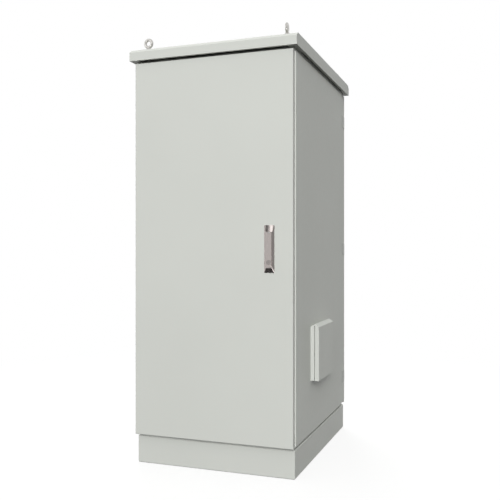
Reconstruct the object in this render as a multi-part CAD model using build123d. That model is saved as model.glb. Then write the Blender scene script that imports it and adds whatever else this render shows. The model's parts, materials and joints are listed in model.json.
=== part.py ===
from build123d import *
import math
import os

# Outdoor 19 inch rack cabinet: folded plinth, tube frame, front and rear doors with
# swing handles and rod locks, proud side panels, an intake hood and a vented roof.
# Millimetres. The origin is the middle of the footprint on the floor, +Z is up,
# the front door faces -Y and the intake hood is on the +X side.

# Rack space
rack_units = 29
unit_height = 44.45
rail_hole_spacing = 465.1
rail_hole_inset = 7.55
rail_hole_side = 9.5
rail_hole_shares = (1 / 7, 1 / 2, 6 / 7)
rail_flange = 30.0
rail_web = 35.0
rail_sheet = 2.0
rail_gap = 5.0
rail_setback = 50.0
rail_end_gap = 2.0
rail_mount_width = 22.0
rail_mount_height = 30.0
rail_mount_inset = 21.0
rail_bolt_radius = 4.0
rail_bolt_head_radius = 6.5
rail_bolt_head = 5.0
rail_bolt_reach = 5.0

# Frame
frame_depth = 760.0
post_width = 40.0
post_depth = 55.0
post_wall = 3.0
post_cap = 14.0
beam_height = 40.0
beam_depth = 40.0
beam_wall = 2.0
foot_groove = 8.0

# Plinth
plinth_height = 100.0
plinth_sheet = 2.5
plinth_ledge = 10.0
plinth_bend = 4.0
anchor_hole_radius = 6.5
anchor_inset_x = 60.0
anchor_inset_y = 25.0
plinth_bolt_radius = 6.0
plinth_bolt_head_radius = 10.0
plinth_bolt_head = 8.0
plinth_bolt_inset_x = 25.0
plinth_bolt_inset_y = 40.0

# Floor of the cabinet and its cable entry
base_sheet = 2.0
base_fit = 0.5
entry_width = 300.0
entry_depth = 100.0
entry_inset = 40.0
gland_lap = 15.0
gland_sheet = 2.0
grommet_count = 3
grommet_spacing = 90.0
grommet_hole_radius = 22.0
grommet_bore_radius = 17.0
grommet_lip = 4.0
grommet_lip_height = 3.0
earth_stud_radius = 4.0
earth_stud_length = 28.0
earth_nut_radius = 7.5
earth_nut_height = 7.0
earth_stud_x = 150.0

# Roof
roof_overhang_x = 17.0
roof_overhang_y = 35.5
roof_fascia = 30.5
roof_height = 42.5
roof_bevel_run = 17.0
roof_sheet = 2.0
roof_seat = 30.0
slot_count = 19
slot_spacing = 33.0
slot_length = 24.0
slot_width = 7.5
slot_clear = 0.8
roof_gap = 22.0
roof_gap_clear = 3.0
roof_gap_end = 18.0
top_plate_sheet = 1.5
top_plate_lap = 8.0
vent_columns = 10
vent_rows = 2
vent_length = 120.0
vent_width = 10.0
vent_spacing = 40.0
vent_row_spacing = 320.0

# Lifting eyes
eye_inset_x = 33.0
eye_inset_y = 19.0
eye_ring_radius = 13.5
eye_wire_radius = 5.3
eye_collar_radius = 12.5
eye_neck_radius = 7.0
eye_collar = 12.7
eye_turns = (90.0, 60.0, 8.0, 115.0)
eye_sink = 3.0
eye_shank_radius = 5.0
eye_shank_end = 4.0
eye_hole_fit = 0.05
spacer_radius = 11.0

# Side panels
panel_proud = 4.0
panel_sheet = 1.5
panel_bend = 1.4
panel_margin = 12.0
panel_lap = 2.0

# Intake hood on the right panel
hood_setback = 191.0
hood_rise = 204.0
hood_width = 225.0
hood_height = 196.0
hood_ridge = 11.0
hood_base_depth = 15.0
hood_cover_depth = 16.0
hood_groove = 1.4
hood_groove_depth = 8.0
hood_groove_top = 4.0
hood_wall = 2.0
hood_cove = 6.0
intake_margin = 26.0
filter_lap = 10.0
filter_frame_depth = 9.0
filter_slots = 8
filter_slot_width = 8.0
filter_mat_depth = 5.0

# Door pans
door_depth = 22.0
door_sheet = 2.0
door_gap = 1.0
door_margin = 8.0
door_lip = 13.0
door_bend = 3.0
stiffener_inset = 16.0
stiffener_width = 20.0
stiffener_wall = 1.5
gasket_height = 5.0
gasket_width = 12.0
gasket_gap = 0.3

# Hinges
hinge_height = 50.0
hinge_spread = 560.0
hinge_leaf = 2.0
hinge_sink = 1.0
hinge_seat_fit = 0.3
hinge_frame_reach = 27.0
hinge_door_reach = 17.0
knuckle_radius = 2.8
knuckle_share = 0.4
knuckle_gap = 0.25
knuckle_room = 0.5
hinge_pin_radius = 1.6
hinge_pin_fit = 0.04
hinge_pin_cap = 1.2
hinge_pin_cap_radius = 2.4

# Swing handle
handle_inset = 83.6
bezel_width = 36.0
bezel_height = 162.0
bezel_wall = 2.0
bezel_raise = 6.0
bezel_top_bevel = 22.9
bezel_low_bevel = 16.0
bezel_mitre_round = 6.0
plateau_margin = 0.8
scoop_half_width = 13.0
scoop_depth = 1.7
lever_width = 20.5
lever_thickness = 3.7
lever_gap = 0.3
lever_round = 8.5
lever_edge = 0.8
lever_pin_radius = 1.0
lever_pin_fit = 0.04
ear_width = 6.0
ear_fit = 0.2
ear_drop = 6.0
hub_radius = 7.5
hub_fit = 0.3
spindle_radius = 6.0
spindle_fit = 0.05
spindle_door_fit = 0.5
journal_radius = 4.0
lock_radius = 8.5
lock_rise = 18.7
lock_proud = 0.5
lock_fit = 0.04
plug_radius = 5.0
key_slot_length = 6.0
key_slot_width = 1.4
key_slot_depth = 1.6

# Rod lock behind the door
pinion_teeth = 12
pinion_radius = 12.0
tooth_width = 2.0
tooth_above = 1.0
tooth_below = 1.5
pinion_width = 7.0
rod_width = 10.0
rod_thickness = 5.0
rod_depth = 8.0
rod_tail = 26.0
rod_tip_gap = 2.0
rod_fit = 0.3
rack_low_teeth = 3
rack_high_teeth = 6
keeper_slot_fit = 1.5
housing_wall = 5.0
housing_height = 56.0
housing_fit = 0.5
guide_width = 22.0
guide_height = 16.0
guide_back = 5.0
guide_shares = (0.25, 0.9)

# Overrun of every cut
cut = 5.0

# Planes and levels worked out from the sizes above
rack_opening = rail_hole_spacing - 2 * rail_hole_inset
half_width = rack_opening / 2 + rail_flange + rail_gap + post_width
half_depth = frame_depth / 2
rail_outer = rack_opening / 2 + rail_flange
rail_front = -half_depth + rail_setback
frame_bottom = plinth_height
bay_bottom = frame_bottom + beam_height
bay_top = bay_bottom + rack_units * unit_height
frame_top = bay_top + beam_height
inner_half_width = half_width - post_width
inner_half_depth = half_depth - beam_depth
plinth_flange_x = post_width + plinth_ledge
plinth_flange_y = beam_depth + plinth_ledge
door_front = -(half_depth + door_depth)
door_back = -(half_depth + door_gap)
door_skin = door_front + door_sheet
door_low = frame_bottom + door_margin
door_high = frame_top - door_margin
door_middle = (door_low + door_high) / 2
stiffener_back = -half_depth - gasket_gap - gasket_height
roof_top = frame_top + roof_height
eye_x = half_width - eye_inset_x
eye_y = half_depth - eye_inset_y
hinge_x = -half_width + hinge_sink - hinge_leaf / 2
hinge_y = -half_depth - door_gap / 2
hinge_levels = [door_middle + step * hinge_spread for step in (-1, 0, 1)]
panel_face = half_width + panel_proud
hood_x = (panel_face, panel_face + hood_base_depth + hood_cover_depth)
hood_joint = panel_face + hood_base_depth
hood_y = (-half_depth + hood_setback, -half_depth + hood_setback + hood_width)
hood_z = (frame_bottom + hood_rise, frame_bottom + hood_rise + hood_height)
intake_y = (hood_y[0] + intake_margin, hood_y[1] - intake_margin)
intake_z = (hood_z[0] + intake_margin, hood_z[1] - intake_margin)
handle_x = half_width - handle_inset
bezel_low = door_middle - bezel_height / 2
bezel_high = door_middle + bezel_height / 2
bezel_front = door_front - bezel_raise
lever_low = bezel_low + bezel_low_bevel + plateau_margin
lever_high = bezel_high - bezel_top_bevel - plateau_margin
lever_back = bezel_front - lever_gap
lever_front = lever_back - lever_thickness
lever_axis_y = (lever_back + lever_front) / 2
lever_axis_z = lever_high - lever_thickness / 2
spindle_z = lever_axis_z - ear_drop
lock_z = lever_low + lock_rise
rod_y = -half_depth + rod_depth
scoop_radius = (scoop_half_width**2 + scoop_depth**2) / (2 * scoop_depth)
bezel_edge = door_front - bezel_wall
rack_pitch = 2 * math.pi * pinion_radius / pinion_teeth
rod_side = pinion_radius + tooth_below + rod_width / 2
housing_back = rod_y + pinion_width / 2 + housing_fit + housing_wall
housing_half = rod_side + rod_width / 2 + housing_fit + housing_wall


def span(half):
    """Pair that runs equally far both ways from zero."""
    return (-half, half)


def around(middle, size):
    """Pair of the given size about a middle."""
    return (middle - size / 2, middle + size / 2)


def block(x, y, z):
    """Box between three pairs."""
    middle = Pos((x[0] + x[1]) / 2, (y[0] + y[1]) / 2, (z[0] + z[1]) / 2)
    return middle * Box(x[1] - x[0], y[1] - y[0], z[1] - z[0])


def bar_x(radius, x, y, z):
    """Round bar along X between a pair."""
    return Pos((x[0] + x[1]) / 2, y, z) * Rot(0, 90, 0) * Cylinder(radius, x[1] - x[0])


def bar_y(radius, x, y, z):
    """Round bar along Y between a pair."""
    return Pos(x, (y[0] + y[1]) / 2, z) * Rot(90, 0, 0) * Cylinder(radius, y[1] - y[0])


def bar_z(radius, x, y, z):
    """Round bar along Z between a pair."""
    return Pos(x, y, (z[0] + z[1]) / 2) * Cylinder(radius, z[1] - z[0])


def hexagon_z(radius, x, y, z):
    """Hexagon bar along Z between a pair, with its corners at the radius."""
    return Pos(x, y, z[0]) * extrude(RegularPolygon(radius, 6), z[1] - z[0])


def prism_x(points, x):
    """Outline in Y and Z, run along X between a pair."""
    face = make_face(Plane.YZ * Polyline(*points, close=True))
    return Pos(x[0], 0, 0) * extrude(face, x[1] - x[0], dir=(1, 0, 0))


def prism_y(points, y):
    """Outline in X and Z, run along Y between a pair."""
    face = make_face(Plane.XZ * Polyline(*points, close=True))
    return Pos(0, y[0], 0) * extrude(face, y[1] - y[0], dir=(0, 1, 0))


def prism_z(points, z):
    """Outline in X and Y, run along Z between a pair."""
    face = make_face(Polyline(*points, close=True))
    return Pos(0, 0, z[0]) * extrude(face, z[1] - z[0], dir=(0, 0, 1))


def turned(shape):
    """The same piece on the other side of the cabinet, half a turn about Z."""
    return Rot(0, 0, 180) * shape


def group(shapes):
    """Like pieces that share one node, as separate solids."""
    return Compound([solid for shape in shapes for solid in shape.solids()])


def four_corners(x, y):
    """The four places at equal distances from the middle."""
    return [(i * x, j * y) for i in (-1, 1) for j in (-1, 1)]


# Plinth

def plinth_ring():
    """Folded channel all round, open to the inside, with its bolt and anchor holes."""
    ring = fillet(block(span(half_width), span(half_depth), (0, plinth_height)).edges(), plinth_bend)
    channel_z = (plinth_sheet, plinth_height - plinth_sheet)
    ring -= block(span(half_width - plinth_sheet), span(half_depth - plinth_sheet), channel_z)
    middle_x = span(half_width - plinth_flange_x)
    middle_y = span(half_depth - plinth_flange_y)
    ring -= block(middle_x, middle_y, (-cut, plinth_height + cut))
    for x, y in four_corners(half_width - anchor_inset_x, half_depth - anchor_inset_y):
        ring -= bar_z(anchor_hole_radius, x, y, (-cut, plinth_sheet + cut))
    for x, y in bolt_places():
        ring -= bar_z(plinth_bolt_radius + base_fit, x, y, (channel_z[1] - cut, plinth_height + cut))
    return ring


def bolt_places():
    """Where the plinth is bolted up to the corner posts."""
    return four_corners(half_width - plinth_bolt_inset_x, half_depth - plinth_bolt_inset_y)


def plinth_pieces():
    """The four plinth faces, mitred at the corners."""
    ring = plinth_ring()
    mitre = max(plinth_flange_x, plinth_flange_y) + cut
    front = [(-half_width, -half_depth), (half_width, -half_depth),
             (half_width - mitre, -half_depth + mitre), (-half_width + mitre, -half_depth + mitre)]
    side = [(half_width, -half_depth), (half_width, half_depth),
            (half_width - mitre, half_depth - mitre), (half_width - mitre, -half_depth + mitre)]
    tall = (-cut, plinth_height + cut)
    front_piece = ring & prism_z(front, tall)
    side_piece = ring & prism_z(side, tall)
    return {"plinth_front": front_piece, "plinth_rear": turned(front_piece),
            "plinth_right": side_piece, "plinth_left": turned(side_piece)}


def plinth_bolts():
    """Bolts up through the plinth into the posts' lower caps."""
    flange_low = plinth_height - plinth_sheet
    bolts = []
    for x, y in bolt_places():
        head = hexagon_z(plinth_bolt_head_radius, x, y, (flange_low - plinth_bolt_head, flange_low))
        bolts.append(head + bar_z(plinth_bolt_radius, x, y, (flange_low, frame_bottom + post_cap)))
    return group(bolts)


# Frame

def post(side, hinged):
    """Front corner post: a tube with thick caps, notched for hinge knuckles where it is hinged."""
    x = sorted((side * half_width, side * inner_half_width))
    y = (-half_depth, -half_depth + post_depth)
    body = block(x, y, (frame_bottom, frame_top))
    hollow_z = (frame_bottom + post_cap, frame_top - post_cap)
    body -= block((x[0] + post_wall, x[1] - post_wall), (y[0] + post_wall, y[1] - post_wall), hollow_z)
    eye_hole = eye_shank_radius + eye_hole_fit
    body -= bar_z(eye_hole, side * eye_x, -eye_y, (hollow_z[1] - cut, frame_top + cut))
    bolt_x = side * (half_width - plinth_bolt_inset_x)
    bolt_y = -half_depth + plinth_bolt_inset_y
    bolt_hole = plinth_bolt_radius + eye_hole_fit
    body -= bar_z(bolt_hole, bolt_x, bolt_y, (frame_bottom - cut, hollow_z[0] + cut))
    body -= foot_grooves()
    if hinged:
        for level in hinge_levels:
            body -= [knuckle_notch(level), leaf_seat(level)]
    return body


def foot_grooves(wall=0.0):
    """Shadow grooves along the foot of both sides of the frame, grown by a wall for its inside."""
    groove = block((half_width - foot_groove - wall, half_width + cut), span(half_depth + cut),
                   (frame_bottom - cut, frame_bottom + panel_margin + wall))
    return [groove, turned(groove)]


def knuckle_notch(level):
    """Round clearance along the hinge axis over one hinge."""
    tall = around(level, hinge_height + 2 * knuckle_gap + 2 * hinge_pin_cap)
    return bar_z(knuckle_radius + knuckle_room, hinge_x, hinge_y, tall)


def leaf_seat(level):
    """Shallow seat across the post's and the door's outer faces that sinks one hinge's leaves."""
    x = (-half_width - cut, -half_width + hinge_sink)
    y = (door_back - hinge_door_reach - hinge_seat_fit, -half_depth + hinge_frame_reach + hinge_seat_fit)
    return block(x, y, around(level, hinge_height + 2 * hinge_seat_fit))


def beam_ring(z, keeper_level):
    """Two cross beams with keeper slots for the lock rods, and two side beams, between the posts."""
    wall = beam_wall
    inner_z = (z[0] + wall, z[1] - wall)
    cross_y = (-half_depth, -inner_half_depth)
    cross = block(span(inner_half_width), cross_y, z)
    cross -= block(span(inner_half_width + cut), (cross_y[0] + wall, cross_y[1] - wall), inner_z)
    for x in (handle_x + rod_side, handle_x - rod_side):
        slot_x = around(x, rod_width + 2 * keeper_slot_fit)
        slot_y = around(rod_y, rod_thickness + 2 * keeper_slot_fit)
        cross -= block(slot_x, slot_y, around(keeper_level, 3 * wall))
    side_x = (inner_half_width, half_width)
    run = half_depth - post_depth
    side = block(side_x, span(run), z)
    hollow = block((side_x[0] + wall, side_x[1] - wall), span(run + cut), inner_z)
    side = side - foot_grooves() - (hollow - foot_grooves(wall))
    middle = (z[0] + z[1]) / 2
    for y in (rail_bolt_y(), -rail_bolt_y()):
        side -= bar_x(rail_bolt_radius + eye_hole_fit, (side_x[0] - cut, side_x[0] + cut), y, middle)
    return group([cross, turned(cross), side, turned(side)])


# Rack rails

def rail_bolt_y():
    """Where a front rail is bolted to the side beams."""
    return rail_front + rail_mount_inset


def rail_bolt_levels():
    """Heights of the rail bolts, at the middle of the lower and upper beams."""
    return (frame_bottom + beam_height / 2, frame_top - beam_height / 2)


def front_right_rail():
    """Angle rail with three square holes in each rack unit."""
    z = (frame_bottom + base_sheet + rail_end_gap, frame_top - rail_end_gap)
    flange_y = (rail_front, rail_front + rail_sheet)
    flange = block((rack_opening / 2, rail_outer), flange_y, z)
    web = block((rail_outer - rail_sheet, rail_outer), (rail_front, rail_front + rail_web), z)
    hole_x = around(rail_hole_spacing / 2, rail_hole_side)
    holes = []
    for unit in range(rack_units):
        for share in rail_hole_shares:
            level = bay_bottom + (unit + share) * unit_height
            holes.append(block(hole_x, (flange_y[0] - cut, flange_y[1] + cut), around(level, rail_hole_side)))
    rail = flange + web - holes
    for level in rail_bolt_levels():
        rail -= bar_x(rail_bolt_radius + eye_hole_fit, around(rail_outer, 2 * cut), rail_bolt_y(), level)
    return rail


def rails():
    """The front pair and the rear pair of rails."""
    right = front_right_rail()
    left = mirror(right, Plane.YZ)
    return {"rack_rails_front": group([right, left]), "rack_rails_rear": group([turned(right), turned(left)])}


def rail_fixings():
    """Spacer blocks between rails and side beams, and the bolts through them."""
    mounts = []
    bolts = []
    for level in rail_bolt_levels():
        y = rail_bolt_y()
        spacer_z = around(level, rail_mount_height)
        spacer = block((rail_outer, inner_half_width), around(y, rail_mount_width), spacer_z)
        spacer -= bar_x(rail_bolt_radius + eye_hole_fit, (rail_outer - cut, inner_half_width + cut), y, level)
        seat = rail_outer - rail_sheet
        bolt = bar_x(rail_bolt_head_radius, (seat - rail_bolt_head, seat), y, level)
        bolt += bar_x(rail_bolt_radius, (seat, inner_half_width + rail_bolt_reach), y, level)
        mounts += [spacer, mirror(spacer, Plane.YZ)]
        bolts += [bolt, mirror(bolt, Plane.YZ)]
    mounts += [turned(piece) for piece in mounts]
    bolts += [turned(piece) for piece in bolts]
    return {"rail_spacers": group(mounts), "rail_bolts": group(bolts)}


# Floor of the cabinet

def floor_pieces():
    """Base plate with its cable entry, gland plate, grommets and earth stud."""
    base_z = (frame_bottom, frame_bottom + base_sheet)
    base = block(span(inner_half_width - base_fit), span(inner_half_depth - base_fit), base_z)
    entry_high = inner_half_depth - entry_inset
    entry_y = (entry_high - entry_depth, entry_high)
    base -= block(span(entry_width / 2), entry_y, (base_z[0] - cut, base_z[1] + cut))
    gland_z = (base_z[1], base_z[1] + gland_sheet)
    gland_y = (entry_y[0] - gland_lap, entry_y[1] + gland_lap)
    gland = block(span(entry_width / 2 + gland_lap), gland_y, gland_z)
    entry_middle = (entry_y[0] + entry_y[1]) / 2
    grommets = []
    for step in range(grommet_count):
        x = (step - (grommet_count - 1) / 2) * grommet_spacing
        gland -= bar_z(grommet_hole_radius, x, entry_middle, (gland_z[0] - cut, gland_z[1] + cut))
        lips = (gland_z[0] - grommet_lip_height, gland_z[1] + grommet_lip_height)
        ring = bar_z(grommet_hole_radius, x, entry_middle, gland_z)
        ring += bar_z(grommet_hole_radius + grommet_lip, x, entry_middle, (gland_z[1], lips[1]))
        ring += bar_z(grommet_hole_radius + grommet_lip, x, entry_middle, (lips[0], gland_z[0]))
        grommets.append(ring - bar_z(grommet_bore_radius, x, entry_middle, (lips[0] - cut, lips[1] + cut)))
    level = frame_bottom + beam_height / 2
    seat = inner_half_depth
    stud = bar_y(earth_stud_radius, earth_stud_x, (seat - earth_stud_length, seat), level)
    stud += bar_y(earth_nut_radius, earth_stud_x, (seat - earth_nut_height, seat), level)
    return {"base_plate": base, "gland_plate": gland, "cable_grommets": group(grommets), "earth_stud": stud}


# Roof

def roof_outline(inset):
    """Outline of the roof in Y and Z, inset by the sheet for its inside."""
    edge = half_depth + roof_overhang_y - inset
    low = frame_top + inset
    fascia = frame_top + roof_fascia - inset / 2
    flat = edge - roof_bevel_run
    high = roof_top - inset
    return [(-edge, low), (-edge, fascia), (-flat, high), (flat, high), (edge, fascia), (edge, low)]


def roof():
    """Folded roof with bevelled front and rear edges, slots under its sides and a long gap over each door."""
    edge_x = half_width + roof_overhang_x
    shell = prism_x(roof_outline(0), span(edge_x))
    shell -= prism_x(roof_outline(roof_sheet), span(edge_x - roof_sheet))
    through = (frame_top - cut, frame_top + roof_sheet + cut)
    shell -= block(span(half_width - roof_seat), span(half_depth - roof_seat), through)
    slots = []
    for step in range(slot_count):
        y = (step - (slot_count - 1) / 2) * slot_spacing
        near = half_width + slot_clear
        slot = block((near, near + slot_width), around(y, slot_length), through)
        slots += [slot, mirror(slot, Plane.YZ)]
    gap_y = (-half_depth - roof_gap_clear - roof_gap, -half_depth - roof_gap_clear)
    gap = block(span(half_width - roof_gap_end), gap_y, through)
    slots += [gap, mirror(gap, Plane.XZ)]
    shell -= slots
    for x, y in four_corners(eye_x, eye_y):
        shell -= bar_z(eye_shank_radius + base_fit, x, y, (frame_top - cut, roof_top + cut))
    return shell


def lifting_eyes():
    """Ring eyes on collars, screwed through the roof into the corner posts."""
    ring_z = roof_top + eye_collar + eye_ring_radius + eye_wire_radius
    eyes = []
    spacers = []
    neck = eye_collar + eye_sink
    for (x, y), turn in zip(four_corners(eye_x, eye_y), eye_turns):
        eye = Pos(x, y, ring_z) * Rot(0, 0, turn) * Rot(0, 90, 0) * Torus(eye_ring_radius, eye_wire_radius)
        eye += Pos(x, y, roof_top + neck / 2) * Cone(eye_collar_radius, eye_neck_radius, neck)
        eye += bar_z(eye_shank_radius, x, y, (frame_top - post_cap - eye_shank_end, roof_top))
        eyes.append(eye)
        spacer_z = (frame_top + roof_sheet, roof_top - roof_sheet)
        spacer = bar_z(spacer_radius, x, y, spacer_z)
        hole_z = (spacer_z[0] - cut, spacer_z[1] + cut)
        spacers.append(spacer - bar_z(eye_shank_radius + base_fit, x, y, hole_z))
    return {"lifting_eyes": group(eyes), "roof_spacers": group(spacers)}


def top_plate():
    """Vented plate that closes the frame under the roof."""
    z = (frame_top, frame_top + top_plate_sheet)
    half_x = inner_half_width + top_plate_lap
    plate = block(span(half_x), span(inner_half_depth + top_plate_lap), z)
    vents = []
    for column in range(vent_columns):
        x = (column - (vent_columns - 1) / 2) * vent_spacing
        for row in range(vent_rows):
            y = (row - (vent_rows - 1) / 2) * vent_row_spacing
            vents.append(block(around(x, vent_width), around(y, vent_length), (z[0] - cut, z[1] + cut)))
    return plate - vents


# Side panels and intake hood

def side_panel():
    """Shallow folded pan on the right side, stopping short of the rear post's hinge strip."""
    x = (half_width, panel_face)
    y = (-half_depth, half_depth - post_depth + panel_lap)
    z = (frame_bottom + panel_margin, frame_top - panel_margin)
    pan = block(x, y, z)
    pan = fillet(pan.faces().sort_by(Axis.X)[-1].edges(), panel_bend)
    t = panel_sheet
    return pan - block((x[0] - cut, x[1] - t), (y[0] + t, y[1] - t), (z[0] + t, z[1] - t))


def right_panel():
    """The right panel has the intake opening behind the hood."""
    return side_panel() - block(around(panel_face, 2 * panel_proud + cut), intake_y, intake_z)


def hood_cove_piece(y, way):
    """Hollow sweep where an end of the hood base runs into the panel."""
    foot = y + way * hood_cove
    sweep = block((panel_face, panel_face + hood_cove), sorted((y, foot)), hood_z)
    tall = (hood_z[0] - cut, hood_z[1] + cut)
    return sweep - bar_z(hood_cove, panel_face + hood_cove, foot, tall)


def hood_end_grooves():
    """Upright grooves in both ends of the hood, along the joint of its two pieces."""
    x = around(hood_joint, 2 * hood_groove)
    z = (hood_z[0] - cut, hood_z[1] + hood_groove_top)
    near = block(x, (hood_y[0] - cut, hood_y[0] + hood_groove_depth), z)
    far = block(x, (hood_y[1] - hood_groove_depth, hood_y[1] + cut), z)
    return [near, far]


def hood_pieces():
    """Base with a rising top, and a cover with a falling top that is open underneath."""
    ridge = hood_z[1] + hood_ridge
    base = prism_y([(hood_x[0], hood_z[0]), (hood_joint, hood_z[0]), (hood_joint, ridge),
                    (hood_x[0], hood_z[1])], hood_y)
    base -= hood_end_grooves()
    base += [hood_cove_piece(hood_y[0], -1), hood_cove_piece(hood_y[1], 1)]
    base -= block((hood_x[0] - cut, hood_joint + cut), intake_y, intake_z)
    cover = prism_y([(hood_joint, hood_z[0]), (hood_x[1], hood_z[0]), (hood_x[1], hood_z[1]),
                     (hood_joint, ridge)], hood_y)
    cover -= hood_end_grooves()
    throat_x = (hood_joint - cut, hood_x[1] - hood_wall)
    outer_x = (hood_joint + hood_groove + hood_wall, hood_x[1] - hood_wall)
    wide_y = (hood_y[0] + hood_wall, hood_y[1] - hood_wall)
    narrow = hood_groove_depth + hood_wall
    narrow_y = (hood_y[0] + narrow, hood_y[1] - narrow)
    open_z = (hood_z[0] - cut, hood_z[1] - hood_wall)
    cover -= [block(outer_x, wide_y, open_z), block(throat_x, narrow_y, open_z)]
    return {"hood_base": base, "hood_cover": cover}


def intake_filter():
    """Grille frame behind the panel with the filter mat held in its slots' backing."""
    back = panel_face - panel_sheet
    frame_y = (intake_y[0] - filter_lap, intake_y[1] + filter_lap)
    frame_z = (intake_z[0] - filter_lap, intake_z[1] + filter_lap)
    grille = block((back - filter_frame_depth, back), frame_y, frame_z)
    grille -= block((back - filter_mat_depth, back + cut), intake_y, intake_z)
    slots = []
    pitch = (intake_z[1] - intake_z[0]) / filter_slots
    for step in range(filter_slots):
        level = intake_z[0] + (step + 1 / 2) * pitch
        slots.append(block(around(back - filter_frame_depth, 2 * filter_frame_depth - cut),
                           intake_y, around(level, filter_slot_width)))
    grille -= slots
    mat = block((back - filter_mat_depth, back), intake_y, intake_z)
    return {"filter_grille": grille, "filter_mat": mat}


# Doors, all drawn at the front and hung on the left

def door_pan():
    """Folded door with returns and lips, notched for the frame knuckles."""
    z = (door_low, door_high)
    pan = block(span(half_width), (door_front, door_back), z)
    pan = fillet(pan.faces().sort_by(Axis.Y)[0].edges(), door_bend)
    t = door_sheet
    pan -= block(span(half_width - t), (door_skin, door_back - t), (z[0] + t, z[1] - t))
    lip = door_lip
    pan -= block(span(half_width - lip), (door_skin, door_back + cut), (z[0] + lip, z[1] - lip))
    for level in hinge_levels:
        pan -= [knuckle_notch(level), leaf_seat(level)]
    pan -= bar_y(spindle_radius + spindle_door_fit, handle_x, (door_front - cut, door_skin + cut), spindle_z)
    return pan


def ring_strip(inset, width, y):
    """Rectangular ring parallel to the door, inset from its edges."""
    outer = block(span(half_width - inset), y, (door_low + inset, door_high - inset))
    inner = inset + width
    wide_y = (y[0] - cut, y[1] + cut)
    return outer - block(span(half_width - inner), wide_y, (door_low + inner, door_high - inner))


def door_stiffener():
    """Tube frame welded inside the door, which carries the gasket."""
    tube = ring_strip(stiffener_inset, stiffener_width, (door_skin, stiffener_back))
    hollow_y = (door_skin + stiffener_wall, stiffener_back - stiffener_wall)
    hollow = stiffener_width - 2 * stiffener_wall
    return tube - ring_strip(stiffener_inset + stiffener_wall, hollow, hollow_y)


def door_gasket():
    """Foam strip on the stiffener that meets the frame all round."""
    inset = stiffener_inset + (stiffener_width - gasket_width) / 2
    return ring_strip(inset, gasket_width, (stiffener_back, stiffener_back + gasket_height))


def knuckle_levels(level):
    """Heights of the lower frame knuckle, the door knuckle and the upper frame knuckle."""
    middle = around(level, knuckle_share * hinge_height)
    tall = around(level, hinge_height)
    return (tall[0], middle[0] - knuckle_gap), middle, (middle[1] + knuckle_gap, tall[1])


def hinge(level):
    """Frame leaf, door leaf and pin of one hinge."""
    low, middle, high = knuckle_levels(level)
    tall = around(level, hinge_height)
    leaf_x = around(hinge_x, hinge_leaf)
    room = knuckle_radius + knuckle_room
    frame_leaf = block(leaf_x, (hinge_y, -half_depth + hinge_frame_reach), tall)
    frame_leaf -= bar_z(room, hinge_x, hinge_y, (middle[0] - knuckle_gap, middle[1] + knuckle_gap))
    frame_leaf += [bar_z(knuckle_radius, hinge_x, hinge_y, part) for part in (low, high)]
    door_leaf = block(leaf_x, (door_back - hinge_door_reach, hinge_y), tall)
    for part in ((low[0] - cut, low[1] + knuckle_gap), (high[0] - knuckle_gap, high[1] + cut)):
        door_leaf -= bar_z(room, hinge_x, hinge_y, part)
    door_leaf += bar_z(knuckle_radius, hinge_x, hinge_y, middle)
    hole = bar_z(hinge_pin_radius + hinge_pin_fit, hinge_x, hinge_y, around(level, hinge_height + cut))
    pin = bar_z(hinge_pin_radius, hinge_x, hinge_y, (tall[0], tall[1] + hinge_pin_cap))
    pin += bar_z(hinge_pin_cap_radius, hinge_x, hinge_y, (tall[1], tall[1] + hinge_pin_cap))
    return frame_leaf - hole, door_leaf - hole, pin


def hinge_nodes():
    """All hinges of one door, grouped by what moves."""
    frame_leaves, door_leaves, pins = zip(*[hinge(level) for level in hinge_levels])
    return {"hinge_frame_leaves": group(frame_leaves), "hinge_door_leaves": group(door_leaves),
            "hinge_pins": group(pins)}


def thumb_scoop():
    """Shallow round hollow along the slope above the lever."""
    slope = math.atan2(bezel_raise - bezel_wall, bezel_top_bevel)
    length = math.hypot(bezel_raise - bezel_wall, bezel_top_bevel) + cut
    above = scoop_radius - scoop_depth
    y = bezel_front + length / 2 * math.sin(slope) - above * math.cos(slope)
    z = bezel_high - bezel_top_bevel + length / 2 * math.cos(slope) + above * math.sin(slope)
    return Pos(handle_x, y, z) * Rot(-math.degrees(slope), 0, 0) * Cylinder(scoop_radius, length)


def handle_bezel():
    """Low bevelled plate under the lever, with a thumb scoop above it and the hole for the spindle's hub."""
    plateau_x = lever_width / 2 + plateau_margin
    plateau_z = (bezel_low + bezel_low_bevel, bezel_high - bezel_top_bevel)
    edge_x = bezel_width / 2
    low = [(x, bezel_edge, z) for x, z in ((-edge_x, bezel_low), (edge_x, bezel_low),
                                          (edge_x, bezel_high), (-edge_x, bezel_high))]
    high = [(x, bezel_front, z) for x, z in ((-plateau_x, plateau_z[0]), (plateau_x, plateau_z[0]),
                                            (plateau_x, plateau_z[1]), (-plateau_x, plateau_z[1]))]
    faces = [make_face(Polyline(*ring, close=True)) for ring in (low, high)]
    plate = loft(faces)
    mitres = [edge for edge in plate.edges()
              if edge.bounding_box().size.Y > bezel_wall / 2 and edge.center().Z < plateau_z[0]]
    plate = fillet(mitres, bezel_mitre_round)
    plate = Pos(handle_x, 0, 0) * plate
    plate += block(around(handle_x, bezel_width), (bezel_edge, door_front), (bezel_low, bezel_high))
    plate -= thumb_scoop()
    return plate - bar_y(hub_radius + hub_fit, handle_x, (bezel_front - cut, door_front + cut), spindle_z)


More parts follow.
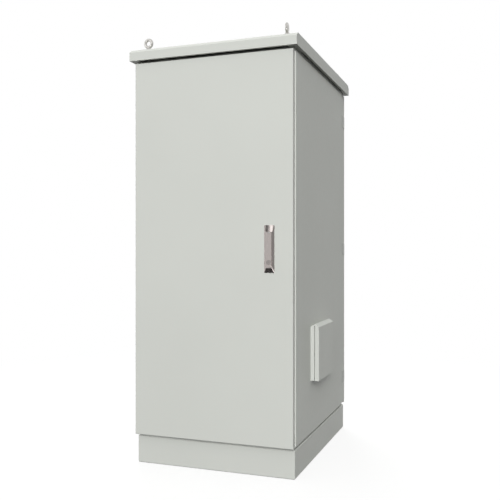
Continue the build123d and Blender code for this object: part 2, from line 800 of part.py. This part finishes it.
def lever():
    """Flat grip with a rounded lower end, a bullnose top, trunnions and the lock's hole."""
    half = lever_width / 2
    y = (lever_front, lever_back)
    grip = block((handle_x - half, handle_x + half), y, (lever_low, lever_axis_z))
    corners = grip.edges().filter_by(Axis.Y).group_by(Axis.Z)[0]
    grip = fillet(corners, lever_round)
    rim = [edge for edge in grip.faces().sort_by(Axis.Y)[0].edges()
           if edge.center().Z < lever_axis_z - lever_edge]
    grip = fillet(rim, lever_edge)
    grip += bar_x(lever_thickness / 2, (handle_x - half, handle_x + half), lever_axis_y, lever_axis_z)
    gap = ear_width / 2 + ear_fit
    ear_low = lever_axis_z - lever_thickness / 2 - ear_fit
    grip -= block((handle_x - gap, handle_x + gap), (y[0] - cut, y[1] + cut), (ear_low, lever_high + cut))
    grip += bar_x(lever_pin_radius, (handle_x - half, handle_x + half), lever_axis_y, lever_axis_z)
    return grip - bar_y(lock_radius + lock_fit, handle_x, (y[0] - cut, y[1] + cut), lock_z)


def lock_barrel():
    """Round lock housing set in the lever."""
    barrel = bar_y(lock_radius, handle_x, (lever_front - lock_proud, lever_back), lock_z)
    barrel = fillet(barrel.edges().group_by(Axis.Y)[0], lock_proud / 2)
    hole_y = (lever_front - lock_proud - cut, lever_back + cut)
    return barrel - bar_y(plug_radius + lock_fit, handle_x, hole_y, lock_z)


def lock_plug():
    """Key plug that turns in the lock housing."""
    plug = bar_y(plug_radius, handle_x, (lever_front, lever_back), lock_z)
    slot_x = around(handle_x, key_slot_width)
    slot_y = (lever_front - cut, lever_front + key_slot_depth)
    return plug - block(slot_x, slot_y, around(lock_z, key_slot_length))


def spindle():
    """Hub with the lever's ear, shaft through the door, pinion and rear journal."""
    pinion_y = around(rod_y, pinion_width)
    body = bar_y(hub_radius, handle_x, (bezel_front, door_front), spindle_z)
    body += bar_y(spindle_radius, handle_x, (door_front, pinion_y[0]), spindle_z)
    body += bar_y(pinion_radius - tooth_below, handle_x, pinion_y, spindle_z)
    body += bar_y(journal_radius, handle_x, (pinion_y[1], housing_back), spindle_z)
    teeth_reach = (pinion_radius - 2 * tooth_below, pinion_radius + tooth_above)
    tooth = block(teeth_reach, pinion_y, span(tooth_width / 2))
    for step in range(pinion_teeth):
        body += Pos(handle_x, 0, spindle_z) * Rot(0, step * 360 / pinion_teeth, 0) * tooth
    ear_x = around(handle_x, ear_width)
    ear_radius = lever_thickness / 2 - ear_fit
    ear_z = (lever_axis_z - ear_radius, lever_axis_z)
    body += block(ear_x, (lever_axis_y, bezel_front), ear_z)
    body += bar_x(ear_radius, ear_x, lever_axis_y, lever_axis_z)
    return body - bar_x(lever_pin_radius + lever_pin_fit, (ear_x[0] - cut, ear_x[1] + cut),
                        lever_axis_y, lever_axis_z)


def gear_housing():
    """Cast block behind the door that carries the spindle and guides both racks."""
    x = (handle_x - housing_half, handle_x + housing_half)
    z = around(spindle_z, housing_height)
    tunnel_half = housing_half - housing_wall
    tunnel_y = around(rod_y, pinion_width + 2 * housing_fit)
    body = block(x, (door_skin, housing_back), z)
    body -= block((handle_x - tunnel_half, handle_x + tunnel_half), tunnel_y, (z[0] - cut, z[1] + cut))
    body -= bar_y(spindle_radius + spindle_fit, handle_x, (door_skin - cut, rod_y), spindle_z)
    return body - bar_y(journal_radius + spindle_fit, handle_x, (rod_y, housing_back + cut), spindle_z)


def lock_rod(side, way):
    """Flat rod with a rack beside the pinion; the upper rod rises, the lower one falls."""
    middle = handle_x + side * rod_side
    tip = bay_top - rod_tip_gap if way > 0 else bay_bottom + rod_tip_gap
    z = sorted((spindle_z - way * rod_tail, tip))
    y = around(rod_y, rod_thickness)
    rod = block(around(middle, rod_width), y, z)
    root = handle_x + side * (pinion_radius + tooth_below + tooth_above)
    tooth_x = sorted((handle_x + side * (pinion_radius - tooth_above), root))
    for step in range(-rack_low_teeth, rack_high_teeth):
        level = spindle_z + way * (step + 1 / 2) * rack_pitch
        rod += block(tooth_x, y, around(level, tooth_width))
    return rod


def rod_guides():
    """Brackets on the door that keep both rods upright."""
    guides = []
    reach = {1: bay_top - spindle_z, -1: spindle_z - bay_bottom}
    for way in (1, -1):
        x = handle_x + way * rod_side
        for share in guide_shares:
            level = spindle_z + way * share * reach[way]
            z = around(level, guide_height)
            guide = block(around(x, guide_width), (door_skin, rod_y + rod_thickness / 2 + guide_back), z)
            slot_x = around(x, rod_width + 2 * rod_fit)
            slot_y = around(rod_y, rod_thickness + 2 * rod_fit)
            guides.append(guide - block(slot_x, slot_y, (z[0] - cut, z[1] + cut)))
    return group(guides)


def door_nodes():
    """Every piece of one door and its lock, by plain name."""
    pieces = {"door": door_pan(), "door_stiffener": door_stiffener(), "door_gasket": door_gasket(),
              "handle_bezel": handle_bezel(), "lever": lever(), "lock_barrel": lock_barrel(),
              "lock_plug": lock_plug(), "spindle": spindle(), "gear_housing": gear_housing(),
              "rod_guides": rod_guides(), "upper_rod": lock_rod(1, 1), "lower_rod": lock_rod(-1, -1)}
    pieces.update(hinge_nodes())
    return pieces


def cabinet():
    """All nodes of the cabinet."""
    nodes = plinth_pieces()
    nodes["plinth_bolts"] = plinth_bolts()
    hinged_post = post(-1, True)
    plain_post = post(1, False)
    nodes["post_front_left"] = hinged_post
    nodes["post_front_right"] = plain_post
    nodes["post_rear_right"] = turned(hinged_post)
    nodes["post_rear_left"] = turned(plain_post)
    nodes["bottom_frame"] = beam_ring((frame_bottom, bay_bottom), bay_bottom)
    nodes["top_frame"] = beam_ring((bay_top, frame_top), bay_top)
    nodes.update(rails())
    nodes.update(rail_fixings())
    nodes.update(floor_pieces())
    nodes["top_plate"] = top_plate()
    nodes["roof"] = roof()
    nodes.update(lifting_eyes())
    nodes["side_panel_right"] = right_panel()
    nodes["side_panel_left"] = turned(side_panel())
    nodes.update(hood_pieces())
    nodes.update(intake_filter())
    for name, shape in door_nodes().items():
        nodes["front_" + name] = shape
        nodes["rear_" + name] = turned(shape)
    return nodes


os.makedirs("parts", exist_ok=True)
for name, shape in cabinet().items():
    export_step(shape, "parts/" + name + ".step")
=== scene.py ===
"""Looks of the outdoor rack cabinet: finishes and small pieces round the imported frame, in metres."""

import json
import math

import bmesh
import bpy
from mathutils import Matrix, Vector


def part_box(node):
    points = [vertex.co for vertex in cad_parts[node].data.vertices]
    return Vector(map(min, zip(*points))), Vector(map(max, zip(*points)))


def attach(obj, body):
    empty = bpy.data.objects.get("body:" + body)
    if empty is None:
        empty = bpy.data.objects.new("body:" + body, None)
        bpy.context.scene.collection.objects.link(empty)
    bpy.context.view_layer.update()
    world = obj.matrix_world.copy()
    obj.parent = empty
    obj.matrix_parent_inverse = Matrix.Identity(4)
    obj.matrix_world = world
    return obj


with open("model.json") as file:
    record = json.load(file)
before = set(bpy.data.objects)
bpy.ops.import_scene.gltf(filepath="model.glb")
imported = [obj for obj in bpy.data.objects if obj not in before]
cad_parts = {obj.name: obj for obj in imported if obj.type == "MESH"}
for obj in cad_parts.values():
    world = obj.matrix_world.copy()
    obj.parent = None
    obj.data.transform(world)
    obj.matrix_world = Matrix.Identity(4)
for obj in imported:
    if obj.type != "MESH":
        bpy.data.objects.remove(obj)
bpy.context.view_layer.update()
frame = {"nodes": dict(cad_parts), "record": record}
nodes = frame["nodes"]


# Finishes

PATTERN_LOW = 0.3
PATTERN_HIGH = 0.7


class Finish:
    """A material with its Principled shader, and short ways to add and join its nodes."""

    def __init__(self, name, **sockets):
        self.material = bpy.data.materials.new(name)
        self.material.use_nodes = True
        self.tree = self.material.node_tree
        self.shader = self.tree.nodes["Principled BSDF"]
        self.place = self.add("ShaderNodeTexCoord").outputs["Object"]
        for socket, value in sockets.items():
            self.shader.inputs[socket.replace("_", " ")].default_value = value

    def add(self, kind):
        return self.tree.nodes.new(kind)

    def join(self, source, target):
        self.tree.links.new(source, target)

    def stretched(self, scale):
        """Object coordinates scaled by axis."""
        mapping = self.add("ShaderNodeMapping")
        mapping.inputs["Scale"].default_value = scale
        self.join(self.place, mapping.inputs["Vector"])
        return mapping.outputs["Vector"]

    def noise(self, scale, detail=2.0, place=None):
        """Height of a cloudy pattern, with so many clouds to the metre."""
        made = self.add("ShaderNodeTexNoise")
        made.inputs["Scale"].default_value = scale
        made.inputs["Detail"].default_value = detail
        self.join(place or self.place, made.inputs["Vector"])
        return made.outputs["Fac"]

    def grain(self, scale, detail=2.0):
        """Cloudy pattern drawn out by its own scale along each axis."""
        return self.noise(1.0, detail, self.stretched(scale))

    def cells(self, scale, output="Distance"):
        """Pattern of cells, with so many to the metre."""
        made = self.add("ShaderNodeTexVoronoi")
        made.inputs["Scale"].default_value = scale
        self.join(self.place, made.inputs["Vector"])
        return made.outputs[output]

    def colour(self, source, low, high, least=PATTERN_LOW, most=PATTERN_HIGH):
        """Base colour that runs between two colours over a pattern's middle range."""
        made = self.add("ShaderNodeValToRGB")
        for stop, position, shade in zip(made.color_ramp.elements, (least, most), (low, high)):
            stop.position = position
            stop.color = (*shade, 1.0)
        self.join(source, made.inputs["Fac"])
        self.join(made.outputs["Color"], self.shader.inputs["Base Color"])

    def rough(self, source, low, high):
        """Roughness that runs between two values over a pattern's middle range."""
        made = self.add("ShaderNodeMapRange")
        made.inputs["From Min"].default_value = PATTERN_LOW
        made.inputs["From Max"].default_value = PATTERN_HIGH
        made.inputs["To Min"].default_value = low
        made.inputs["To Max"].default_value = high
        self.join(source, made.inputs["Value"])
        self.join(made.outputs["Result"], self.shader.inputs["Roughness"])

    def bump(self, source, depth, strength):
        """Relief of a pattern, so many metres deep."""
        made = self.add("ShaderNodeBump")
        made.inputs["Distance"].default_value = depth
        made.inputs["Strength"].default_value = strength
        self.join(source, made.inputs["Height"])
        self.join(made.outputs["Normal"], self.shader.inputs["Normal"])


def tone(colour, share):
    """A colour made lighter or darker by a share."""
    return tuple(min(1.0, part * share) for part in colour)


LIGHT_GREY = (0.585, 0.598, 0.565)
HINGE_GREY = (0.50, 0.51, 0.49)
CHROME = (0.435, 0.395, 0.38)
STEEL = (0.33, 0.305, 0.295)


def powder_coat(name, colour):
    """Stoved powder paint: orange peel skin, and a film that is a little thicker in places."""
    made = Finish(name, Specular_IOR_Level=0.15)
    made.colour(made.noise(2.6, detail=3.0), low=tone(colour, 0.985), high=tone(colour, 1.012))
    made.rough(made.noise(70.0), low=0.40, high=0.50)
    made.bump(made.noise(430.0, detail=1.5), depth=0.00012, strength=0.45)
    return made.material


def zinc_plate(name):
    """Bright zinc with a faint straw and blue cloud."""
    made = Finish(name, Metallic=1.0)
    made.colour(made.noise(26.0, detail=3.0), low=(0.60, 0.60, 0.57), high=(0.60, 0.63, 0.67))
    made.rough(made.noise(160.0, detail=4.0), low=0.24, high=0.40)
    made.bump(made.noise(900.0), depth=0.00004, strength=0.4)
    return made.material


def galvanised(name):
    """Zinc spangle on sheet, each crystal with its own tone and gloss."""
    made = Finish(name, Metallic=1.0)
    crystals = made.cells(95.0, "Color")
    made.colour(crystals, low=(0.46, 0.48, 0.50), high=(0.66, 0.68, 0.70), least=0.1, most=0.9)
    made.rough(crystals, low=0.34, high=0.52)
    made.bump(made.noise(300.0, detail=3.0), depth=0.00005, strength=0.4)
    return made.material


def satin_chrome(name):
    """Chrome over a brushed casting, the brush marks upright."""
    made = Finish(name, Metallic=1.0)
    brushed = made.grain((1700.0, 1700.0, 60.0))
    made.colour(brushed, low=tone(CHROME, 0.95), high=tone(CHROME, 1.04))
    made.rough(made.noise(90.0, detail=3.0), low=0.17, high=0.26)
    made.bump(brushed, depth=0.00001, strength=0.25)
    return made.material


def satin_steel(name):
    """Turned steel of the key plug."""
    made = Finish(name, Metallic=1.0)
    turned = made.grain((900.0, 60.0, 900.0))
    made.colour(turned, low=tone(STEEL, 0.92), high=tone(STEEL, 1.06))
    made.rough(turned, low=0.24, high=0.36)
    made.bump(turned, depth=0.00002, strength=0.3)
    return made.material


def eye_forging(name):
    """Drop-forged steel of the lifting eyes under bright zinc, browner where the film is thin."""
    made = Finish(name, Metallic=1.0)
    made.colour(made.noise(240.0, detail=4.0), low=(0.50, 0.485, 0.46), high=(0.60, 0.59, 0.57))
    made.rough(made.noise(220.0, detail=3.0), low=0.16, high=0.26)
    made.bump(made.noise(520.0, detail=3.0), depth=0.00016, strength=0.5)
    return made.material


def zinc_casting(name):
    """Die cast zinc, dull and finely pitted."""
    made = Finish(name, Metallic=1.0)
    made.colour(made.noise(40.0, detail=4.0), low=(0.36, 0.37, 0.38), high=(0.44, 0.45, 0.46))
    made.rough(made.noise(120.0, detail=3.0), low=0.46, high=0.60)
    made.bump(made.noise(800.0, detail=3.0), depth=0.00010, strength=0.5)
    return made.material


def seal_foam(name):
    """Foamed seal with an open-pored skin."""
    made = Finish(name)
    pores = made.cells(520.0)
    made.colour(pores, low=(0.022, 0.022, 0.024), high=(0.052, 0.052, 0.056), least=0.1)
    made.rough(made.noise(200.0), low=0.82, high=0.95)
    made.bump(pores, depth=0.0005, strength=0.7)
    return made.material


def moulded_rubber(name):
    """Black rubber with a matt bloom."""
    made = Finish(name)
    made.colour(made.noise(60.0, detail=3.0), low=(0.022, 0.022, 0.022), high=(0.040, 0.040, 0.041))
    made.rough(made.noise(140.0), low=0.58, high=0.74)
    made.bump(made.noise(700.0), depth=0.00006, strength=0.5)
    return made.material


def grained_plastic(name):
    """Moulded plastic with a spark-eroded grain."""
    made = Finish(name)
    made.colour(made.noise(12.0, detail=3.0), low=(0.53, 0.54, 0.51), high=(0.56, 0.57, 0.54))
    made.rough(made.noise(90.0), low=0.46, high=0.58)
    made.bump(made.cells(1400.0), depth=0.00008, strength=0.5)
    return made.material


def filter_fleece(name):
    """White fleece of matted fibres."""
    made = Finish(name, Sheen_Weight=0.4, Sheen_Roughness=0.6)
    fibres = made.grain((260.0, 700.0, 260.0), detail=6.0)
    made.colour(fibres, low=(0.70, 0.70, 0.67), high=(0.88, 0.88, 0.86))
    made.rough(made.noise(80.0), low=0.88, high=0.97)
    made.bump(fibres, depth=0.0012, strength=0.7)
    return made.material


def turned_brass(name):
    """Lathe-turned brass."""
    made = Finish(name, Metallic=1.0)
    turned = made.grain((90.0, 90.0, 1500.0))
    made.colour(turned, low=(0.62, 0.47, 0.20), high=(0.74, 0.59, 0.29))
    made.rough(turned, low=0.22, high=0.36)
    made.bump(turned, depth=0.00002, strength=0.4)
    return made.material


FINISHES = {
    "door_paint": powder_coat("door_paint", LIGHT_GREY),
    "panel_paint": powder_coat("panel_paint", LIGHT_GREY),
    "roof_paint": powder_coat("roof_paint", LIGHT_GREY),
    "hood_paint": powder_coat("hood_paint", LIGHT_GREY),
    "plinth_paint": powder_coat("plinth_paint", LIGHT_GREY),
    "frame_paint": powder_coat("frame_paint", LIGHT_GREY),
    "hinge_paint": powder_coat("hinge_paint", HINGE_GREY),
    "zinc_steel": zinc_plate("zinc_steel"),
    "galvanised_sheet": galvanised("galvanised_sheet"),
    "gasket_foam": seal_foam("gasket_foam"),
    "grommet_rubber": moulded_rubber("grommet_rubber"),
    "handle_chrome": satin_chrome("handle_chrome"),
    "lock_steel": satin_steel("lock_steel"),
    "cast_zinc": zinc_casting("cast_zinc"),
    "grille_plastic": grained_plastic("grille_plastic"),
    "filter_fleece": filter_fleece("filter_fleece"),
    "stud_brass": turned_brass("stud_brass"),
}

for row in frame["record"]["subparts"]:
    dressed = nodes[row["node"]]
    dressed.data.materials.clear()
    dressed.data.materials.append(FINISHES[row["material_slot"]])
nodes["lifting_eyes"].data.materials[0] = eye_forging("eye_forging")


# Pieces in the scene

def placed(name, data):
    """A new object with its data, in the scene."""
    made = bpy.data.objects.new(name, data)
    bpy.context.scene.collection.objects.link(made)
    return made


def meshed(name, shape):
    """A mesh from a finished bmesh, which is then given up."""
    data = bpy.data.meshes.new(name)
    shape.to_mesh(data)
    shape.free()
    return data


# Small fasteners

HEAD_SIDES = 24
HEAD_LOBES = 6
HEAD_HEIGHT_SHARE = 0.6
HEAD_ROUND_SHARE = 0.35
HEAD_ROUND_STEPS = 4
RECESS_RIM_SHARE = 0.15
RECESS_DEPTH_SHARE = 0.32
LOBE_PINCH_SHARE = 0.74
SEAT_SINK = 0.00005
SHARP_TURN = math.radians(35.0)

GLAND_SCREW_RADIUS = 0.0036
GLAND_SCREW_COLUMNS = 4
GLAND_INSET = 0.0075
PLATE_SCREW_RADIUS = 0.0045
PLATE_SCREW_STEP = 0.2
PLATE_INSET = 0.006
HOUSING_SCREW_RADIUS = 0.0032
HOUSING_INSET = 0.0055

UPWARDS = (0.0, 0.0, 1.0)
FORWARDS = (0.0, -1.0, 0.0)
REARWARDS = (0.0, 1.0, 0.0)


def upper_face(shape):
    return max(shape.faces, key=lambda face: face.calc_center_median().z)


def pan_head(radius):
    """One low pan head with a six-lobed recess, standing on the XY plane."""
    shape = bmesh.new()
    height = HEAD_HEIGHT_SHARE * radius
    bmesh.ops.create_cone(shape, cap_ends=True, segments=HEAD_SIDES, radius1=radius, radius2=radius,
                          depth=height)
    bmesh.ops.translate(shape, vec=(0.0, 0.0, height / 2 - SEAT_SINK), verts=shape.verts)
    bmesh.ops.bevel(shape, geom=list(upper_face(shape).edges), offset=HEAD_ROUND_SHARE * radius,
                    affect="EDGES", segments=HEAD_ROUND_STEPS, profile=0.5, material=-1)
    bmesh.ops.inset_region(shape, faces=[upper_face(shape)], thickness=RECESS_RIM_SHARE * radius)
    recess = upper_face(shape)
    lobe_sides = HEAD_SIDES // HEAD_LOBES
    for step, corner in enumerate(recess.verts):
        if step % lobe_sides < lobe_sides // 2:
            corner.co.xy *= LOBE_PINCH_SHARE
    floor = bmesh.ops.extrude_discrete_faces(shape, faces=[recess])["faces"]
    bmesh.ops.translate(shape, vec=(0.0, 0.0, -RECESS_DEPTH_SHARE * radius), verts=floor[0].verts)
    return shape


def screws(name, body, places, out, radius):
    """Zinc-plated screw heads at some places of a face, as one piece that rides on a body."""
    head = meshed("head", pan_head(radius))
    turn = Vector(UPWARDS).rotation_difference(Vector(out)).to_matrix().to_4x4()
    shape = bmesh.new()
    for place in places:
        known = set(shape.verts)
        shape.from_mesh(head)
        fresh = [corner for corner in shape.verts if corner not in known]
        bmesh.ops.transform(shape, matrix=Matrix.Translation(place) @ turn, verts=fresh)
    for face in shape.faces:
        face.smooth = True
    bpy.data.meshes.remove(head)
    data = meshed(name, shape)
    data.set_sharp_from_angle(angle=SHARP_TURN)
    data.materials.append(FINISHES["zinc_steel"])
    made = placed(name, data)
    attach(made, body)


def spread(low, high, count, inset):
    """Evenly spread places between two ends, inset from both."""
    step = (high - low - 2 * inset) / (count - 1)
    return [low + inset + place * step for place in range(count)]


def gland_plate_screws():
    """Two rows of screws along the front and rear edges of the gland plate."""
    low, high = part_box("gland_plate")
    columns = spread(low[0], high[0], GLAND_SCREW_COLUMNS, GLAND_INSET)
    rows = (low[1] + GLAND_INSET, high[1] - GLAND_INSET)
    places = [(x, y, high[2]) for x in columns for y in rows]
    screws("gland_plate_screws", "cabinet", places, UPWARDS, GLAND_SCREW_RADIUS)


def base_plate_screws():
    """Three screws along the front edge of the base plate, and three along the rear."""
    low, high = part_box("base_plate")
    columns = (-PLATE_SCREW_STEP, 0.0, PLATE_SCREW_STEP)
    rows = (low[1] + PLATE_INSET, high[1] - PLATE_INSET)
    places = [(x, y, high[2]) for x in columns for y in rows]
    screws("base_plate_screws", "cabinet", places, UPWARDS, PLATE_SCREW_RADIUS)


def housing_screws(door, out):
    """Four screws at the corners of a gear housing's inner face, which looks outwards along out."""
    low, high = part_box(door + "_gear_housing")
    inner_face = high[1] if out == REARWARDS else low[1]
    columns = (low[0] + HOUSING_INSET, high[0] - HOUSING_INSET)
    levels = (low[2] + HOUSING_INSET, high[2] - HOUSING_INSET)
    places = [(x, inner_face, z) for x in columns for z in levels]
    screws(door + "_housing_screws", door + "_door_leaf", places, out, HOUSING_SCREW_RADIUS)


gland_plate_screws()
base_plate_screws()
housing_screws("front", REARWARDS)
housing_screws("rear", FORWARDS)


# Studio

WHITE = (1.0, 1.0, 1.0, 1.0)

CAMERA_PLACE = (0.9622, -2.6454, 0.7809)
CAMERA_TURN = math.radians(19.99)
LENS_MM = 50.0
SENSOR_MM = 36.0
VIEW_REACH = 100.0

HORIZON_LIGHT = 0.0
ZENITH_LIGHT = 1.062
SKY_TINT = (0.99, 1.0, 0.973)

FLOOR_HALF = 30.0
FLOOR_GREY = 0.06
FLOOR_SHADE_SHARE = 0.25
FADE_START = 0.4
FADE_END = 2.6

LAMPS = {
    "front_lamp": dict(place=(3.2, -12.5, 5.2), aim=(0.0, -0.4, 0.7), size=5.6, power=1598.0),
    "back_lamp": dict(place=(-2.4, 5.0, 2.4), aim=(0.0, 0.3, 0.8), size=2.6, power=220.0),
}

HANDLE_TOP = (0.22, -0.41, 0.86)
HANDLE_MIDDLE = (0.22, -0.41, 0.8)
HANDLE_CORNER = (0.23, -0.41, 0.71)
CARDS = {
    "low_card": dict(place=(-0.30, -1.85, 0.01), aim=(-0.30, -1.85, 1.0), width=2.6, height=1.9, grey=0.062),
    "side_card": dict(place=(1.75, -2.05, 0.9), aim=HANDLE_MIDDLE, width=1.7, height=2.4, grey=0.46),
    "high_card": dict(place=(0.28, -2.27, 1.57), aim=HANDLE_TOP, width=0.9, height=0.8, grey=0.2),
    "corner_card": dict(place=(0.70, -2.31, 0.29), aim=HANDLE_CORNER, width=0.8, height=0.5, grey=5.0),
    "left_card": dict(place=(-3.41, -4.73, 2.9), aim=HANDLE_TOP, width=2.5, height=1.7, grey=2.5),
}


def towards(place, aim, axis):
    """Turn that points an axis from a place to another."""
    return (Vector(aim) - Vector(place)).to_track_quat(axis, "Y")


def camera():
    data = bpy.data.cameras.new("camera")
    data.lens = LENS_MM
    data.sensor_width = SENSOR_MM
    data.clip_end = VIEW_REACH
    made = placed("camera", data)
    made.location = CAMERA_PLACE
    made.rotation_euler = (math.pi / 2, 0.0, CAMERA_TURN)
    bpy.context.scene.camera = made


def softbox(name, place, aim, size, power):
    """A square lamp at a place, turned to a point, that bright metal doesn't show."""
    data = bpy.data.lights.new(name, "AREA")
    data.shape = "SQUARE"
    data.size = size
    data.energy = power
    made = placed(name, data)
    made.location = place
    made.rotation_euler = towards(place, aim, "-Z").to_euler()
    made.visible_glossy = False


def seen_directly(tree):
    """One where a ray comes from the camera, a mirror-like surface or glass, and zero elsewhere."""
    path = tree.nodes.new("ShaderNodeLightPath")
    total = path.outputs["Is Camera Ray"]
    for output in ("Is Glossy Ray", "Is Transmission Ray"):
        added = tree.nodes.new("ShaderNodeMath")
        added.operation = "MAXIMUM"
        tree.links.new(total, added.inputs[0])
        tree.links.new(path.outputs[output], added.inputs[1])
        total = added.outputs["Value"]
    return total


def mixed(tree, share, first, second):
    """Shader that goes from a first to a second one with a share."""
    made = tree.nodes.new("ShaderNodeMixShader")
    tree.links.new(share, made.inputs["Fac"])
    tree.links.new(first, made.inputs[1])
    tree.links.new(second, made.inputs[2])
    return made.outputs["Shader"]


def white_world():
    """White where it is seen, and on everything else a soft sky that is stronger overhead."""
    world = bpy.data.worlds.new("studio")
    bpy.context.scene.world = world
    world.use_nodes = True
    tree = world.node_tree
    height = tree.nodes.new("ShaderNodeSeparateXYZ")
    tree.links.new(tree.nodes.new("ShaderNodeTexCoord").outputs["Generated"], height.inputs["Vector"])
    strength = tree.nodes.new("ShaderNodeMapRange")
    strength.inputs["To Min"].default_value = HORIZON_LIGHT
    strength.inputs["To Max"].default_value = ZENITH_LIGHT
    tree.links.new(height.outputs["Z"], strength.inputs["Value"])
    sky = tree.nodes["Background"]
    sky.inputs["Color"].default_value = (*SKY_TINT, 1.0)
    tree.links.new(strength.outputs["Result"], sky.inputs["Strength"])
    white = tree.nodes.new("ShaderNodeBackground")
    white.inputs["Color"].default_value = WHITE
    shown = mixed(tree, seen_directly(tree), sky.outputs["Background"], white.outputs["Background"])
    tree.links.new(shown, tree.nodes["World Output"].inputs["Surface"])


def staged(name, shape):
    """A stage piece from a finished bmesh, with a material that has only its output yet."""
    made = placed(name, meshed(name, shape))
    material = bpy.data.materials.new(name)
    material.use_nodes = True
    material.node_tree.nodes.remove(material.node_tree.nodes["Principled BSDF"])
    made.data.materials.append(material)
    return made


def matt(tree, colour):
    """Dull surface of one colour, for the stage."""
    made = tree.nodes.new("ShaderNodeBsdfDiffuse")
    made.inputs["Color"].default_value = colour
    return made.outputs["BSDF"]


def glow(tree, colour):
    """Surface that shines in one colour, for the stage."""
    made = tree.nodes.new("ShaderNodeEmission")
    made.inputs["Color"].default_value = colour
    return made.outputs["Emission"]


def white_floor():
    """Pale floor that fades into the white background and keeps the cabinet's shadow near it."""
    shape = bmesh.new()
    bmesh.ops.create_grid(shape, x_segments=1, y_segments=1, size=FLOOR_HALF)
    tree = staged("floor", shape).active_material.node_tree
    reach = tree.nodes.new("ShaderNodeVectorMath")
    reach.operation = "LENGTH"
    tree.links.new(tree.nodes.new("ShaderNodeTexCoord").outputs["Object"], reach.inputs[0])
    fade = tree.nodes.new("ShaderNodeMapRange")
    fade.interpolation_type = "SMOOTHSTEP"
    fade.inputs["From Min"].default_value = FADE_START
    fade.inputs["From Max"].default_value = FADE_END
    fade.inputs["To Min"].default_value = 1.0 - FLOOR_SHADE_SHARE
    fade.inputs["To Max"].default_value = 1.0
    tree.links.new(reach.outputs["Value"], fade.inputs["Value"])
    shown = mixed(tree, fade.outputs["Result"], matt(tree, WHITE), glow(tree, WHITE))
    grey = matt(tree, (FLOOR_GREY, FLOOR_GREY, FLOOR_GREY, 1.0))
    surface = mixed(tree, seen_directly(tree), grey, shown)
    tree.links.new(surface, tree.nodes["Material Output"].inputs["Surface"])


def card(name, place, aim, width, height, grey):
    """A card out of the picture that only mirror-like surfaces see, to shape the chrome."""
    shape = bmesh.new()
    bmesh.ops.create_grid(shape, x_segments=1, y_segments=1, size=0.5)
    turn = towards(place, aim, "Z").to_matrix().to_4x4()
    size = Matrix.Diagonal((width, height, 1.0, 1.0))
    bmesh.ops.transform(shape, matrix=Matrix.Translation(place) @ turn @ size, verts=shape.verts)
    made = staged(name, shape)
    made.visible_camera = False
    made.visible_diffuse = False
    made.visible_shadow = False
    made.visible_transmission = False
    tree = made.active_material.node_tree
    shade = glow(tree, (grey, grey, grey, 1.0))
    tree.links.new(shade, tree.nodes["Material Output"].inputs["Surface"])


camera()
white_world()
white_floor()
for card_name, card_values in CARDS.items():
    card(card_name, **card_values)
for lamp_name, lamp_values in LAMPS.items():
    softbox(lamp_name, **lamp_values)
bpy.context.scene.view_settings.view_transform = "Standard"
